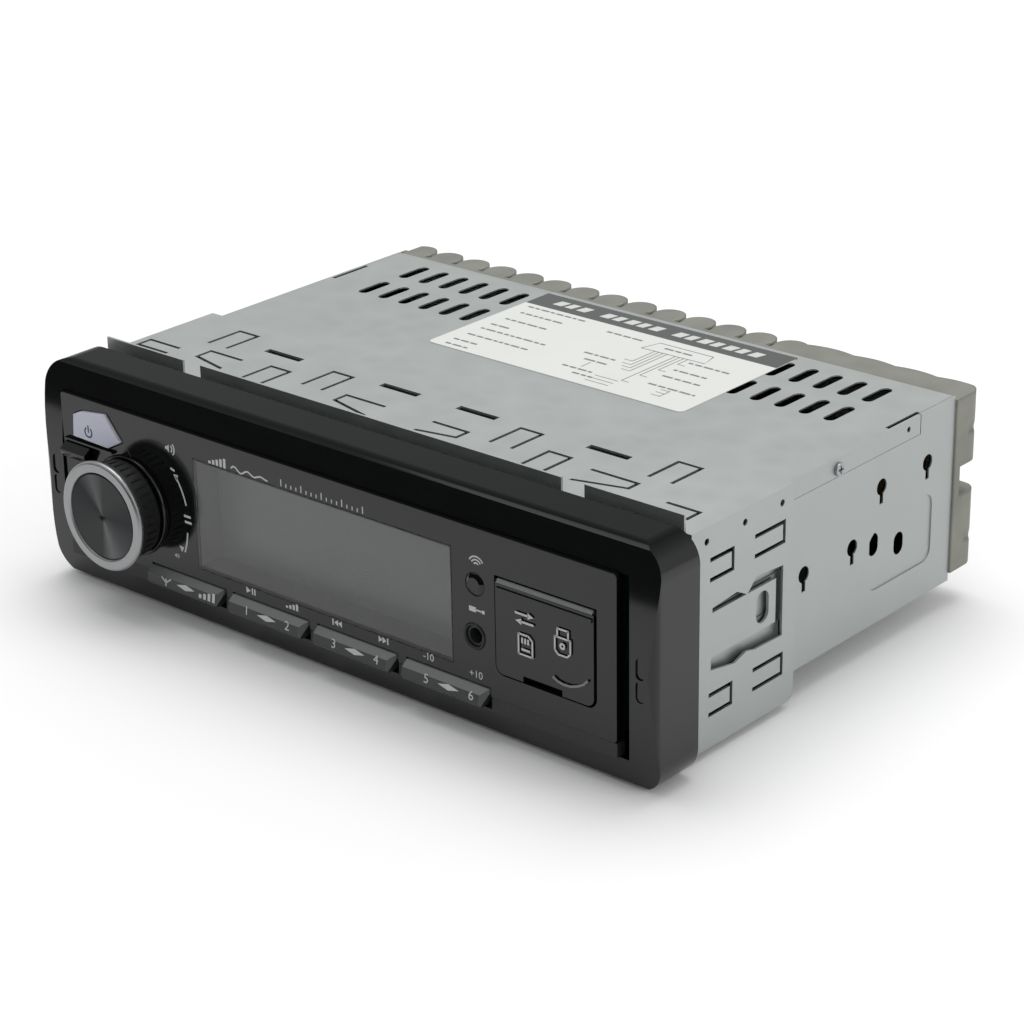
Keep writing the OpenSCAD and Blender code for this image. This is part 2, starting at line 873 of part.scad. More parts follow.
module rear_plate() {
    color("#9ea3a3")
        difference() {
            span([-half_w + sheet_t + 0.1, half_w - sheet_t - 0.1], plate_y,
                [tray_z + sheet_t + 0.1, lid_z]);
            span([cutout_x[0] - 0.2, 71], [chassis_d - 2, chassis_d + 1], [cutout_z[0], cutout_z[1]]);
            rod([round_x, antenna_z], 5, [chassis_d - 2, chassis_d + 1]);
            for (z = line_z)
                rod([round_x, z], 4.3, [chassis_d - 2, chassis_d + 1]);
            for (p = sink_screws)
                rod(p, 1.6, [chassis_d - 2, chassis_d + 1]);
        }
}

module side_latches() {
    color("#8f9394")
        mirrored()
            difference() {
                span([half_w + 0.05, half_w + 0.45], [2, 34], [-6, 6]);
                side_plate([half_w - 1, half_w + 2])
                    round_rect([24, 31], [-2.5, 2.5], 2);
            }
}

module rating_label() {
    color("#e6e7e5")
        translate([0, 0, lid_z])
            linear_extrude(0.15)
                round_rect([-34.5, 45], [55.5, 102.3], 1.6);
}

// ---- mounting sleeve -----------------------------------------------------

// Slits of the bend-out tabs, seen from above
module tab_slits() {
    for (t = long_tabs) {
        for (s = [-1, 1])
            rect([t[0] + s * tab_w / 2 - slit / 2, t[0] + s * tab_w / 2 + slit / 2], [t[1], t[2]]);
        rect([t[0] - tab_w / 2, t[0] + tab_w / 2], [t[2] - slit, t[2]]);
    }
    for (t = cross_tabs) {
        x = [min(t[0], t[1]), max(t[0], t[1])];
        rect(x, [t[3] - slit, t[3]]);
        rect([t[1] - slit / 2, t[1] + slit / 2], [t[2] - slit / 2, t[3]]);
        polygon([
            [t[1], t[2] - slit / 2], [t[1], t[2] + slit / 2],
            [t[0], t[2] + slit / 2 + t[4]], [t[0], t[2] - slit / 2 + t[4]]
        ]);
    }
    for (x = dashes)
        rect([x - 6, x + 6], [23.7, 25.9]);
}

module side_tab(y, z) {
    rect(y, [z[0], z[0] + slit]);
    rect(y, [z[1] - slit, z[1]]);
    rect([y[1] - slit, y[1]], z);
}

module sleeve_side_cuts() {
    wall = [sleeve_w / 2 - 2, sleeve_w / 2 + 1];
    side_plate(wall)
        for (z = [[13.2, 18.9], [-18.9, -13.2]]) {
            side_tab([6, 14.6], z);
            side_tab([22, 33.3], z);
        }
    side_plate(wall)
        polygon([
            [7, 6.9], [15.8, 7.6], [19.6, 5.7], [22.8, 8.8], [32.7, 8], [32.7, -9],
            [22.8, -8.8], [19.6, -8], [15.3, -9.3], [6.6, -7.8]
        ]);
    side_plate(wall)
        for (y = [4.7, 18.3, 31.9])
            translate([y, 23.1])
                circle(0.8);
    side_plate(wall)
        outer_corner([sleeve_d + 1.5, -sleeve_h / 2], 2.5);
}

module sleeve_tongue() {
    difference() {
        span([sleeve_w / 2 - 1.2, sleeve_w / 2 - 0.5], [4.2, 30.8], [-5.2, 5.4]);
        side_plate([sleeve_w / 2 - 3, sleeve_w / 2 + 1])
            round_rect([23.6, 28.2], [-3.6, 4], 2.2);
    }
}

module mounting_sleeve() {
    w = sleeve_w / 2;
    h = sleeve_h / 2;
    color("#a9b0b0")
        union() {
            difference() {
                span([-w, w], [-sleeve_t, sleeve_d + 1.5], [-h, h]);
                span([-w + sleeve_t, w - sleeve_t], [-5, sleeve_d + 5], [-h + sleeve_t, h - sleeve_t]);
                translate([-w - 1, sleeve_d, h + 0.01])
                    rotate([-87.6, 0, 0])
                        cube([sleeve_w + 2, 60, 10]);
                translate([0, 0, h - 3])
                    linear_extrude(5)
                        tab_slits();
                translate([0, 0, -h - 2])
                    linear_extrude(5)
                        tab_slits();
                mirrored()
                    sleeve_side_cuts();
            }
            mirrored()
                sleeve_tongue();
            for (l = lips) {
                span(l, [-sleeve_t, 0], [h - 0.1, h + lip_h]);
                span(l, [-sleeve_t, 0], [-h - lip_h + 2, -h + 0.1]);
            }
        }
}

// ---- heat sink and rear sockets ------------------------------------------

module heat_sink() {
    color("#8f9089")
        difference() {
            translate([0, 0, sink_z[0]])
                linear_extrude(sink_z[1] - sink_z[0])
                    union() {
                        rect(sink_x, [sink_y, sink_y + sink_base]);
                        for (i = [0:rib_count - 1])
                            translate([rib_x0 + i * rib_pitch, chassis_d + 6.2])
                                union() {
                                    circle(rib_r);
                                    rect([-rib_r + 0.4, rib_r - 0.4], [-4, 0]);
                                }
                        intersection() {
                            union() {
                                rect([block_x, sink_x[1]], [sink_y + 1, block_y - 0.8]);
                                for (i = [0:3])
                                    translate([block_x + 6 + i * 12, block_y - 22])
                                        circle(22, $fn = 96);
                            }
                            union() {
                                rect([block_x, sink_x[1]], [sink_y, block_y - 4.5]);
                                round_rect([block_x - 6, sink_x[1]], [sink_y, block_y], 4.4);
                            }
                        }
                    }
            span([-100, rib_x0 - rib_r + 1.5], [sink_y + sink_base + 1, 130], [-30, 30]);
            span([82, 100], [chassis_d + 2.4, 130], [-0.3, 7.4]);
            span(cutout_x, [chassis_d - 1, 130], cutout_z);
            side_plate([block_x, 100])
                outer_corner([block_y, sink_z[0]], 3.5);
            for (p = sink_screws) {
                rod(p, 1.6, [chassis_d - 1, 130]);
                rod(p, 3.4, [chassis_d + 5, 130]);
            }
        }
}

module heat_sink_screws() {
    color("#c4c7c8")
        for (p = sink_screws) {
            rod(p, 1.5, [chassis_d - 5, chassis_d + 5.1]);
            rod(p, 3, [chassis_d + 5, chassis_d + 7]);
        }
}

module iso_cavity(z) {
    span([iso_x[0] + iso_wall, iso_x[1] - iso_wall], [iso_y[1] - iso_depth, iso_y[1] + 1], z);
}

iso_mid = (iso_z[0] + iso_z[1]) / 2;
iso_rows = [
    [iso_z[0] + iso_wall, iso_mid - iso_wall / 2],
    [iso_mid + iso_wall / 2, iso_z[1] - iso_wall]
];

module wiring_socket() {
    color("#24262b")
        difference() {
            union() {
                span(iso_x, iso_y, iso_z);
                span([47, 67], [iso_y[0], chassis_d + 2], [iso_z[1] - 0.1, iso_z[1] + 4]);
            }
            for (z = iso_rows)
                iso_cavity(z);
            span([48.4, 65.6], [chassis_d - 10, 130], [iso_z[1] + 0.4, iso_z[1] + 3.9]);
        }
}

module socket_pins() {
    color("#c9b26a")
        for (z = iso_rows, i = [0:3], s = [-1, 1])
            span([iso_x[0] + 4.9 + i * 5.4, iso_x[0] + 6 + i * 5.4], [iso_y[1] - iso_depth, iso_y[1] - 6],
                [(z[0] + z[1]) / 2 + s * 2.7 - 0.55, (z[0] + z[1]) / 2 + s * 2.7 + 0.55]);
}

module blade_fuse() {
    color("#3f7fc4")
        span([48.6, 65.4], [chassis_d - 2, chassis_d + 5], [iso_z[1] + 0.6, iso_z[1] + 3.7]);
    color("#c7cacc")
        for (x = [50, 61])
            span([x, x + 3], [chassis_d - 9.5, chassis_d - 1.9], [iso_z[1] + 1.8, iso_z[1] + 2.5]);
}

module antenna_socket() {
    color("#b7babd")
        difference() {
            rod([round_x, antenna_z], 5.4 - 0.5, [92, 108]);
            rod([round_x, antenna_z], 4.1, [99, 110]);
            rod([round_x, antenna_z], 3, [94, 100]);
        }
}

module antenna_contact() {
    color("#c9b26a")
        difference() {
            rod([round_x, antenna_z], 1.9, [94, 98.6]);
            rod([round_x, antenna_z], 1.3, [95, 99]);
        }
}

module line_sockets() {
    color("#d8d8d4")
        difference() {
            for (z = line_z)
                rod([round_x, z], 4.15, [94, 112]);
            for (z = line_z)
                rod([round_x, z], 3.3, [110, 113]);
            for (z = line_z)
                rod([round_x, z], 1.6, [97, 113]);
        }
}

module line_contacts() {
    color("#c9b26a")
        for (z = line_z)
            difference() {
                rod([round_x, z], 4.1, [112.02, 112.5]);
                rod([round_x, z], 3.35, [111, 114]);
            }
}

// ---- inside the chassis --------------------------------------------------

module main_board() {
    color("#1f5c38")
        difference() {
            span(board_x, board_d, board_z);
            span([board_notch[0], board_x[1] + 1], [board_notch[1], board_d[1] + 1], [board_z[0] - 1, board_z[1] + 1]);
            for (p = board_holes)
                translate([p[0], p[1], board_z[0] - 1])
                    cylinder(h = 4, r = 1.6);
        }
}

module board_screws() {
    color("#b9bcbe")
        for (p = board_holes)
            translate([p[0], p[1], 0]) {
                translate([0, 0, board_z[1]])
                    cylinder(h = 1.6, r = 2.6);
                translate([0, 0, board_z[0] - 3])
                    cylinder(h = 5, r = 1.2);
            }
}

module amplifier_chip() {
    color("#1d1d1f")
        span([chip_x - 14, chip_x + 14], [chassis_d - 5.6, plate_y[0]], [-9, 8]);
    color("#b4b6b8")
        for (i = [0:11])
            span([chip_x - 12.2 + i * 2.2, chip_x - 11.5 + i * 2.2], [chassis_d - 5.2, chassis_d - 4.5],
                [board_z[1], -8.9]);
}

module chip_clamp() {
    color("#a3a7a8")
        span([chip_x - 18, chip_x + 18], [chassis_d - 6.8, chassis_d - 5.6], [-3, 3]);
}

module tuner_module() {
    color("#b5b8ba")
        difference() {
            span([50, 74], [58, 84], [board_z[1], board_z[1] + 12]);
            span([51, 73], [59, 83], [board_z[1] - 1, board_z[1] + 11]);
            for (x = [55, 62, 69])
                translate([x, 64, board_z[1] + 9])
                    cylinder(h = 5, r = 1.4);
        }
}

module smoothing_capacitors() {
    color("#22242c")
        for (p = [[-70, 78, 8, 25], [-52, 80, 6.3, 20], [8, 84, 5, 16], [22, 86, 5, 16], [-66, 50, 4, 11], [-54, 50, 4, 11]])
            translate([p[0], p[1], board_z[1]])
                cylinder(h = p[3], r = p[2]);
}

module power_choke() {
    color("#b06a2c")
        translate([36, 60, board_z[1] + 4])
            rotate_extrude()
                translate([7, 0])
                    circle(4, $fn = 32);
}

module media_chip() {
    color("#202124")
        for (p = [[-10, 40, 14], [30, 30, 9], [-40, 26, 8]])
            translate([p[0] - p[2] / 2, p[1] - p[2] / 2, board_z[1]])
                cube([p[2], p[2], 1.6]);
}

front_frame();
fascia_back();
front_panel();
key_strip();
display_lens();
display_shroud();
lcd_glass();
lcd_backlight();
front_board();
key_switches();
knob_collar();
encoder_housing();
encoder_bush();
encoder_plunger();
encoder_shaft();
volume_knob();
knob_ring();
knob_cap();
power_button();
mode_key();
rocker_band();
rocker_1_2();
rocker_3_4();
rocker_5_6();
ir_sensor();
aux_socket();
aux_ring();
port_door();
usb_socket();
card_socket();
ribbon_link();
fascia_screws();
chassis_tray();
top_cover();
rear_plate();
cover_screws();
side_latches();
rating_label();
mounting_sleeve();
heat_sink();
heat_sink_screws();
main_board();
board_screws();
amplifier_chip();
chip_clamp();
wiring_socket();
socket_pins();
blade_fuse();
antenna_socket();
antenna_contact();
line_sockets();
line_contacts();
tuner_module();
smoothing_capacitors();
power_choke();
media_chip();
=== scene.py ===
import math
import random

import bmesh
import bpy
from mathutils import Matrix, Vector


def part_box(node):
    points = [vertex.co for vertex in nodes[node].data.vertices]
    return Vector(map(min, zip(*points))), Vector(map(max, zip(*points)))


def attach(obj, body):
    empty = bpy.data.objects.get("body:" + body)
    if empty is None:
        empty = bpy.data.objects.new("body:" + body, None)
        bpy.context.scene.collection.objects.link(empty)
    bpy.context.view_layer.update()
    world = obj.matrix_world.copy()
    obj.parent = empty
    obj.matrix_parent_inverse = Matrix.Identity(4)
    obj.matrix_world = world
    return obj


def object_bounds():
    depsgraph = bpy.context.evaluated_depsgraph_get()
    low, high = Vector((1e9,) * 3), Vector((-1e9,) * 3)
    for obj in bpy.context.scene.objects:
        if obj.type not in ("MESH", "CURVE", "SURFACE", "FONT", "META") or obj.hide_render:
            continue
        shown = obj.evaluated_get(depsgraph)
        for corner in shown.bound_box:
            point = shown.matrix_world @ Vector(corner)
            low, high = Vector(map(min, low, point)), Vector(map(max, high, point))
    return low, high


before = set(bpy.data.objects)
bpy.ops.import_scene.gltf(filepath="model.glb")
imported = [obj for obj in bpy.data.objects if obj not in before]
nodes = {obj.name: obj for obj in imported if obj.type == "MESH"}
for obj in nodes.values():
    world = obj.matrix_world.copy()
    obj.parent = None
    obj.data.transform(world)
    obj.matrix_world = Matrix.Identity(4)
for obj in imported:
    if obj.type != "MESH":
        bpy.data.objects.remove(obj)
cad_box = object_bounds()


# ---- Table, light and camera ----------------------------------------------
# The radio stands on a plain pale table under one large soft lamp, in a pale room.
# A black board stands in front of it, out of the camera's sight, so that the
# polished brow has something dark to mirror.

MM = 0.001
table_z = cad_box[0].z


def colour(hex_text):
    """An sRGB hex value as linear RGBA."""
    channels = [int(hex_text[i:i + 2], 16) / 255 for i in (1, 3, 5)]
    return [c / 12.92 if c <= 0.04045 else ((c + 0.055) / 1.055) ** 2.4 for c in channels] + [1]


def add(tree, kind, joins=None, **settings):
    """Adds one node with its settings; joins gives each input a value or another node's output."""
    made = tree.nodes.new(kind)
    for key, value in settings.items():
        setattr(made, key, value)
    for key, value in (joins or {}).items():
        if isinstance(value, bpy.types.NodeSocket):
            tree.links.new(value, made.inputs[key])
        else:
            made.inputs[key].default_value = value
    return made


def skin(name, **sockets):
    """A new material, its node tree and its Principled shader with those sockets set."""
    made = bpy.data.materials.new(name)
    made.use_nodes = True
    shader = made.node_tree.nodes["Principled BSDF"]
    for key, value in sockets.items():
        shader.inputs[key.replace("_", " ")].default_value = value
    return made, made.node_tree, shader


def mesh_piece(name, verts, faces, material):
    """A new object from its faces and its points, which are in millimetres."""
    data = bpy.data.meshes.new(name)
    data.from_pydata([Vector(v) * MM for v in verts], [], faces)
    data.materials.append(material)
    made = bpy.data.objects.new(name, data)
    bpy.context.scene.collection.objects.link(made)
    return made


def lamp(name, at, to, size, power):
    """A soft rectangular lamp that shines from one point at another."""
    data = bpy.data.lights.new(name, "AREA")
    data.shape = "RECTANGLE"
    data.size, data.size_y = size
    data.energy = power
    made = bpy.data.objects.new(name, data)
    made.location = at
    made.rotation_euler = (Vector(at) - Vector(to)).to_track_quat("Z", "Y").to_euler()
    bpy.context.scene.collection.objects.link(made)


# White laminate is matt, with a pore so faint that it only softens the light.
table_paint, tree, shader = skin("table_white_laminate", Base_Color=colour("#EDEDEC"), Roughness=0.6)
pores = add(tree, "ShaderNodeTexNoise", {"Scale": 40, "Detail": 2})
pitted = add(tree, "ShaderNodeBump", {"Height": pores.outputs["Fac"], "Strength": 0.05, "Distance": 0.2 * MM})
tree.links.new(pitted.outputs["Normal"], shader.inputs["Normal"])
reach = 4000
floor = table_z / MM
table = mesh_piece("table", [(-reach, -reach, floor), (reach, -reach, floor),
                             (reach, reach, floor), (-reach, reach, floor)],
                   [(0, 1, 2, 3)], table_paint)

# Black flock swallows light, so only the polished front shows that it is there.
flock, tree, shader = skin("black_flock_board", Base_Color=colour("#1D1E1F"), Roughness=0.9)
board_left, board_right, board_y, board_top = -700, 160, -178, 130
board = mesh_piece("black_board", [(board_left, board_y, floor), (board_right, board_y, floor),
                                   (board_right, board_y, board_top), (board_left, board_y, board_top)],
                   [(0, 1, 2, 3)], flock)
board.visible_camera = False
board.visible_shadow = False
board.visible_diffuse = False

world = bpy.data.worlds.new("room")
bpy.context.scene.world = world
world.use_nodes = True
world.node_tree.nodes["Background"].inputs["Color"].default_value = colour("#F4F5F6")
world.node_tree.nodes["Background"].inputs["Strength"].default_value = 0.75
lamp("softbox", (-0.25, 0.35, 1.5), (0, 0.04, 0), (1.4, 1.1), 16)
lamp("side_window", (1.5, 0.3, 0.7), (0, 0.04, 0), (0.9, 0.9), 6)
bpy.context.scene.view_settings.view_transform = "Standard"

# The camera stands in front, to the right and above, and leans by about a degree.
aim = Vector((0.040777, 0, 0.018195))
turn, lift, roll = math.radians(41.06), math.radians(23.078), math.radians(-0.957)
back = Vector((math.sin(turn) * math.cos(lift), -math.cos(turn) * math.cos(lift), math.sin(lift)))
level = back.cross(Vector((0, 0, -1))).normalized()
up = back.cross(level)
side = math.cos(roll) * level + math.sin(roll) * up
top = -math.sin(roll) * level + math.cos(roll) * up
eye = bpy.data.objects.new("camera", bpy.data.cameras.new("camera"))
eye.data.lens = 101.61
eye.data.sensor_width = 36
eye.data.clip_start = 0.02
rotation = Matrix((side, top, back)).transposed().to_4x4()
eye.matrix_world = Matrix.Translation(aim + back * 0.638034) @ rotation
bpy.context.scene.collection.objects.link(eye)
bpy.context.scene.camera = eye


# ---- Chassis tray, cover and rear plate -----------------------------------
# Folded from 0.8 mm galvanised steel sheet, pierced on a turret press.
# The tray and its lid are held by the cover screws; the rear plate is let in.

def dress(material, *names, edge_mm=0, segments=2):
    """Gives CAD nodes their material, and breaks their sharp edges by that much."""
    for name in names:
        node = nodes[name]
        node.data.materials.clear()
        node.data.materials.append(material)
        if edge_mm:
            joined = node.modifiers.new("joined_faces", "WELD")
            joined.merge_threshold = 0.002 * MM
            merged = node.modifiers.new("flat_faces", "DECIMATE")
            merged.decimate_type = "DISSOLVE"
            merged.angle_limit = math.radians(0.5)
            rounding = node.modifiers.new("broken_edge", "BEVEL")
            rounding.width = edge_mm * MM
            rounding.segments = segments
            rounding.limit_method = "ANGLE"
            rounding.angle_limit = math.radians(35)
            rounding.harden_normals = True


def inside(tree, spot, low, high):
    """1 where the point lies in that box, given in millimetres, and 0 elsewhere."""
    over = add(tree, "ShaderNodeVectorMath", {0: spot, 1: Vector(low) * MM}, operation="SUBTRACT")
    under = add(tree, "ShaderNodeVectorMath", {0: Vector(high) * MM, 1: spot}, operation="SUBTRACT")
    least = add(tree, "ShaderNodeVectorMath", {0: over.outputs["Vector"], 1: under.outputs["Vector"]},
                operation="MINIMUM")
    parts = add(tree, "ShaderNodeSeparateXYZ", {"Vector": least.outputs["Vector"]})
    pair = add(tree, "ShaderNodeMath", {0: parts.outputs["X"], 1: parts.outputs["Y"]}, operation="MINIMUM")
    margin = add(tree, "ShaderNodeMath", {0: pair.outputs["Value"], 1: parts.outputs["Z"]},
                 operation="MINIMUM")
    return add(tree, "ShaderNodeMath", {0: margin.outputs["Value"], 1: 0.0},
               operation="GREATER_THAN").outputs["Value"]


def grain(tree, shader, size_mm, strength, depth_mm, detail=2):
    """Gives a surface fine bumps of about that size and depth; returns the node that makes them."""
    spot = add(tree, "ShaderNodeTexCoord").outputs["Object"]
    bumps = add(tree, "ShaderNodeTexNoise", {"Vector": spot, "Scale": 1 / (size_mm * MM), "Detail": detail})
    relief = add(tree, "ShaderNodeBump", {"Height": bumps.outputs["Fac"], "Strength": strength,
                                          "Distance": depth_mm * MM})
    tree.links.new(relief.outputs["Normal"], shader.inputs["Normal"])
    return relief


# Galvanised steel: zinc bloom of about 7 mm, dull and bluish. The case has a painted shade,
# near-black, where the sleeve covers it and inside, so its slots and the sleeve's slits look
# deep; it stays bare behind the latch openings of the sleeve.
case_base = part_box("chassis_tray")[0].z / MM
lid_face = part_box("top_cover")[1].z / MM
sleeve_end = 35.6
bare_metal = 0.85
for name, members in (("galvanised_steel_sheet", ("mounting_sleeve", "rear_plate")),
                      ("galvanised_steel_case_painted_shade", ("chassis_tray", "top_cover"))):
    galvanised_steel, tree, shader = skin(name, Metallic=bare_metal, Roughness=0.46)
    spot = add(tree, "ShaderNodeTexCoord").outputs["Object"]
    bloom = add(tree, "ShaderNodeTexVoronoi", {"Vector": spot, "Scale": 1 / (7 * MM)})
    cloud = add(tree, "ShaderNodeTexNoise", {"Vector": spot, "Scale": 1 / (35 * MM), "Detail": 3})
    tone = add(tree, "ShaderNodeMix", {"Factor": 0.25, "A": cloud.outputs["Fac"],
                                       "B": bloom.outputs["Distance"]})
    zinc = add(tree, "ShaderNodeValToRGB", {"Fac": tone.outputs["Result"]})
    zinc.color_ramp.elements[0].position = 0.3
    zinc.color_ramp.elements[0].color = colour("#A6AAA9")
    zinc.color_ramp.elements[1].position = 0.75
    zinc.color_ramp.elements[1].color = colour("#ACB0AE")
    tree.links.new(zinc.outputs["Color"], shader.inputs["Base Color"])
    dull = add(tree, "ShaderNodeMapRange", {"Value": bloom.outputs["Distance"],
                                            "To Min": 0.43, "To Max": 0.5})
    tree.links.new(dull.outputs["Result"], shader.inputs["Roughness"])
    grain(tree, shader, 1.2, 0.25, 0.02)
    if name == "galvanised_steel_case_painted_shade":
        # Painted shade: where the sleeve covers the case, and inside it, the colour turns near-black, with no
        # metal and little specular.
        covered = inside(tree, spot, (-100, -20, case_base - 1), (100, sleeve_end, lid_face + 1))
        opening = inside(tree, spot, (-100, 5, -10), (100, 34, 10))
        within = inside(tree, spot, (-88.6, 0, case_base + 0.4), (88.6, 103, lid_face - 0.4))
        hidden = add(tree, "ShaderNodeMath", {0: covered, 1: opening}, operation="SUBTRACT").outputs["Value"]
        painted_shade = add(tree, "ShaderNodeMath", {0: hidden, 1: within}, operation="MAXIMUM").outputs["Value"]
        paint = add(tree, "ShaderNodeMix", {"Factor": painted_shade, "A": zinc.outputs["Color"],
                                            "B": colour("#060606")}, data_type="RGBA")
        tree.links.new(paint.outputs["Result"], shader.inputs["Base Color"])
        for socket, bare, black in (("Metallic", bare_metal, 0), ("Specular IOR Level", 0.5, 0.1)):
            share = add(tree, "ShaderNodeMapRange", {"Value": painted_shade, "To Min": bare, "To Max": black})
            tree.links.new(share.outputs["Result"], shader.inputs[socket])
    dress(galvanised_steel, *members, edge_mm=0.12)


# ---- Heat sink --------------------------------------------------------------
# Die-cast aluminium, tumbled and left bare: warm grey, with a grain of about 0.5 mm.
# Screwed to the rear plate, with rounded ribs at the left and a wavy block at the right.

def clouds(tree, shader, size_mm, dark, pale, detail=2, dark_at=0, pale_at=1):
    """Lets the base colour drift between two shades, in clouds of about that size."""
    spot = add(tree, "ShaderNodeTexCoord").outputs["Object"]
    cloud = add(tree, "ShaderNodeTexNoise", {"Vector": spot, "Scale": 1 / (size_mm * MM), "Detail": detail})
    ramp = add(tree, "ShaderNodeValToRGB", {"Fac": cloud.outputs["Fac"]})
    ramp.color_ramp.elements[0].position = dark_at
    ramp.color_ramp.elements[0].color = colour(dark)
    ramp.color_ramp.elements[1].position = pale_at
    ramp.color_ramp.elements[1].color = colour(pale)
    tree.links.new(ramp.outputs["Color"], shader.inputs["Base Color"])


# Cast aluminium: cloudy grey. Tumbling wears its rims to soft edges that catch the light.
cast_aluminium, tree, shader = skin("die_cast_aluminium", Metallic=0.8, Roughness=0.55)
clouds(tree, shader, 12, "#7E7E77", "#8D8D85", detail=4, dark_at=0.3, pale_at=0.7)
worn = add(tree, "ShaderNodeBevel", {"Radius": 1.4 * MM}, samples=8)
cast_skin = grain(tree, shader, 0.5, 0.5, 0.08)
tree.links.new(worn.outputs["Normal"], cast_skin.inputs["Normal"])
dress(cast_aluminium, "heat_sink")


# ---- Main board and what stands on it ---------------------------------------
# Glass-fibre board under green solder lacquer, with the amplifier chip, the tuner can,
# capacitors in shrunk sleeves and a choke wound with enamelled copper wire.

# Solder lacquer: glossy green, paler over the copper, which shows as long blocks.
solder_lacquer, tree, shader = skin("green_solder_lacquer", Roughness=0.3, Coat_Weight=0.3)
tracks = add(tree, "ShaderNodeTexBrick", {
    "Vector": add(tree, "ShaderNodeTexCoord").outputs["Object"], "Scale": 1,
    "Color1": colour("#1E5B34"), "Color2": colour("#1A4F2D"), "Mortar": colour("#2C7446"),
    "Mortar Size": 0.6 * MM, "Brick Width": 11 * MM, "Row Height": 4 * MM})
tree.links.new(tracks.outputs["Color"], shader.inputs["Base Color"])
relief = add(tree, "ShaderNodeBump", {"Height": tracks.outputs["Fac"], "Strength": 0.4,
                                      "Distance": 0.04 * MM})
tree.links.new(relief.outputs["Normal"], shader.inputs["Normal"])
dress(solder_lacquer, "main_board", "front_board", edge_mm=0.1)

# Moulded epoxy: dull near-black with a sandy skin, drawn coarser than it is.
moulded_epoxy, tree, shader = skin("moulded_epoxy", Base_Color=colour("#1C1D1F"), Roughness=0.55)
grain(tree, shader, 0.4, 0.4, 0.03)
dress(moulded_epoxy, "amplifier_chip", "media_chip", "key_switches", edge_mm=0.12)

# Tinned steel: bright, with tin crystals of about 3 mm that change its gloss.
tinned_steel, tree, shader = skin("tinned_steel", Base_Color=colour("#B9BCBD"), Metallic=1, Roughness=0.34)
spot = add(tree, "ShaderNodeTexCoord").outputs["Object"]
crystals = add(tree, "ShaderNodeTexVoronoi", {"Vector": spot, "Scale": 1 / (3 * MM)})
dull = add(tree, "ShaderNodeMapRange", {"Value": crystals.outputs["Distance"],
                                        "To Min": 0.25, "To Max": 0.42})
tree.links.new(dull.outputs["Result"], shader.inputs["Roughness"])
dress(tinned_steel, "tuner_module", "encoder_housing", "encoder_shaft", "usb_socket", "card_socket",
      edge_mm=0.12)

# Shrunk vinyl: smooth and shiny, slightly uneven where it has pulled tight.
shrunk_vinyl, tree, shader = skin("shrunk_vinyl_sleeve", Base_Color=colour("#20222B"), Roughness=0.28)
grain(tree, shader, 4, 0.3, 0.05)
dress(shrunk_vinyl, "smoothing_capacitors", edge_mm=0.5, segments=3)

# Enamelled copper wire: glossy orange-brown turns. A wave of scale 1 repeats every 0.314 m.
wave_unit = 0.314
enamelled_copper, tree, shader = skin("enamelled_copper_wire", Base_Color=colour("#A4541F"), Metallic=0.9,
                                      Roughness=0.3)
spot = add(tree, "ShaderNodeTexCoord").outputs["Object"]
wire = add(tree, "ShaderNodeTexWave", {"Vector": spot, "Scale": wave_unit / (1.884 * MM)})
relief = add(tree, "ShaderNodeBump", {"Height": wire.outputs["Fac"], "Strength": 0.6, "Distance": 0.2 * MM})
tree.links.new(relief.outputs["Normal"], shader.inputs["Normal"])
dress(enamelled_copper, "power_choke")


# ---- Rear sockets -----------------------------------------------------------
# Moulded housings let through the heat sink: the loudspeaker and supply socket with its
# pins and fuse, the aerial socket and the two line sockets, with plated contacts.

def haze(tree, shader, size_mm, polished, dull, detail=2):
    """Lets the roughness wander between two values, in patches of about that size."""
    spot = add(tree, "ShaderNodeTexCoord").outputs["Object"]
    patch = add(tree, "ShaderNodeTexNoise", {"Vector": spot, "Scale": 1 / (size_mm * MM), "Detail": detail})
    rough = add(tree, "ShaderNodeMapRange", {"Value": patch.outputs["Fac"],
                                             "To Min": polished, "To Max": dull})
    tree.links.new(rough.outputs["Result"], shader.inputs["Roughness"])


# Glass-filled nylon: matt black, with a grain drawn coarser than it is.
filled_nylon, tree, shader = skin("glass_filled_nylon", Base_Color=colour("#1B1C1D"), Roughness=0.5)
grain(tree, shader, 0.6, 0.35, 0.04, detail=3)
dress(filled_nylon, "wiring_socket", "line_sockets", "aux_socket", "encoder_plunger", edge_mm=0.15)

# Plated brass: pale gold, bright, with duller stains.
plated_brass, tree, shader = skin("plated_brass_contact", Base_Color=colour("#C9B27A"), Metallic=1,
                                  Roughness=0.24)
haze(tree, shader, 3, 0.18, 0.34)
dress(plated_brass, "socket_pins", "line_contacts", "antenna_contact", "antenna_socket", edge_mm=0.08)

# Fuse plastic: shiny blue, as fuses of that rating are.
fuse_plastic, tree, shader = skin("tinted_fuse_plastic", Base_Color=colour("#2C5FA8"), Roughness=0.2)
haze(tree, shader, 5, 0.14, 0.3)
dress(fuse_plastic, "blade_fuse", edge_mm=0.2)

# Flat cable: cores 1 mm apart show as stripes through the film.
cable_film, tree, shader = skin("flat_cable_film", Roughness=0.4)
spot = add(tree, "ShaderNodeTexCoord").outputs["Object"]
cores = add(tree, "ShaderNodeTexWave", {"Vector": spot, "Scale": wave_unit / (1 * MM)})
stripes = add(tree, "ShaderNodeValToRGB", {"Fac": cores.outputs["Fac"]})
stripes.color_ramp.elements[0].color = colour("#B9B39E")
stripes.color_ramp.elements[1].color = colour("#E6E2D2")
tree.links.new(stripes.outputs["Color"], shader.inputs["Base Color"])
dress(cable_film, "ribbon_link", edge_mm=0.1)


# ---- Rating label -----------------------------------------------------------
# White paper with a clear film, printed dark grey and stuck to the lid. The print is plain
# bars for the lines of text, and a wiring diagram of eight leads below a plug.

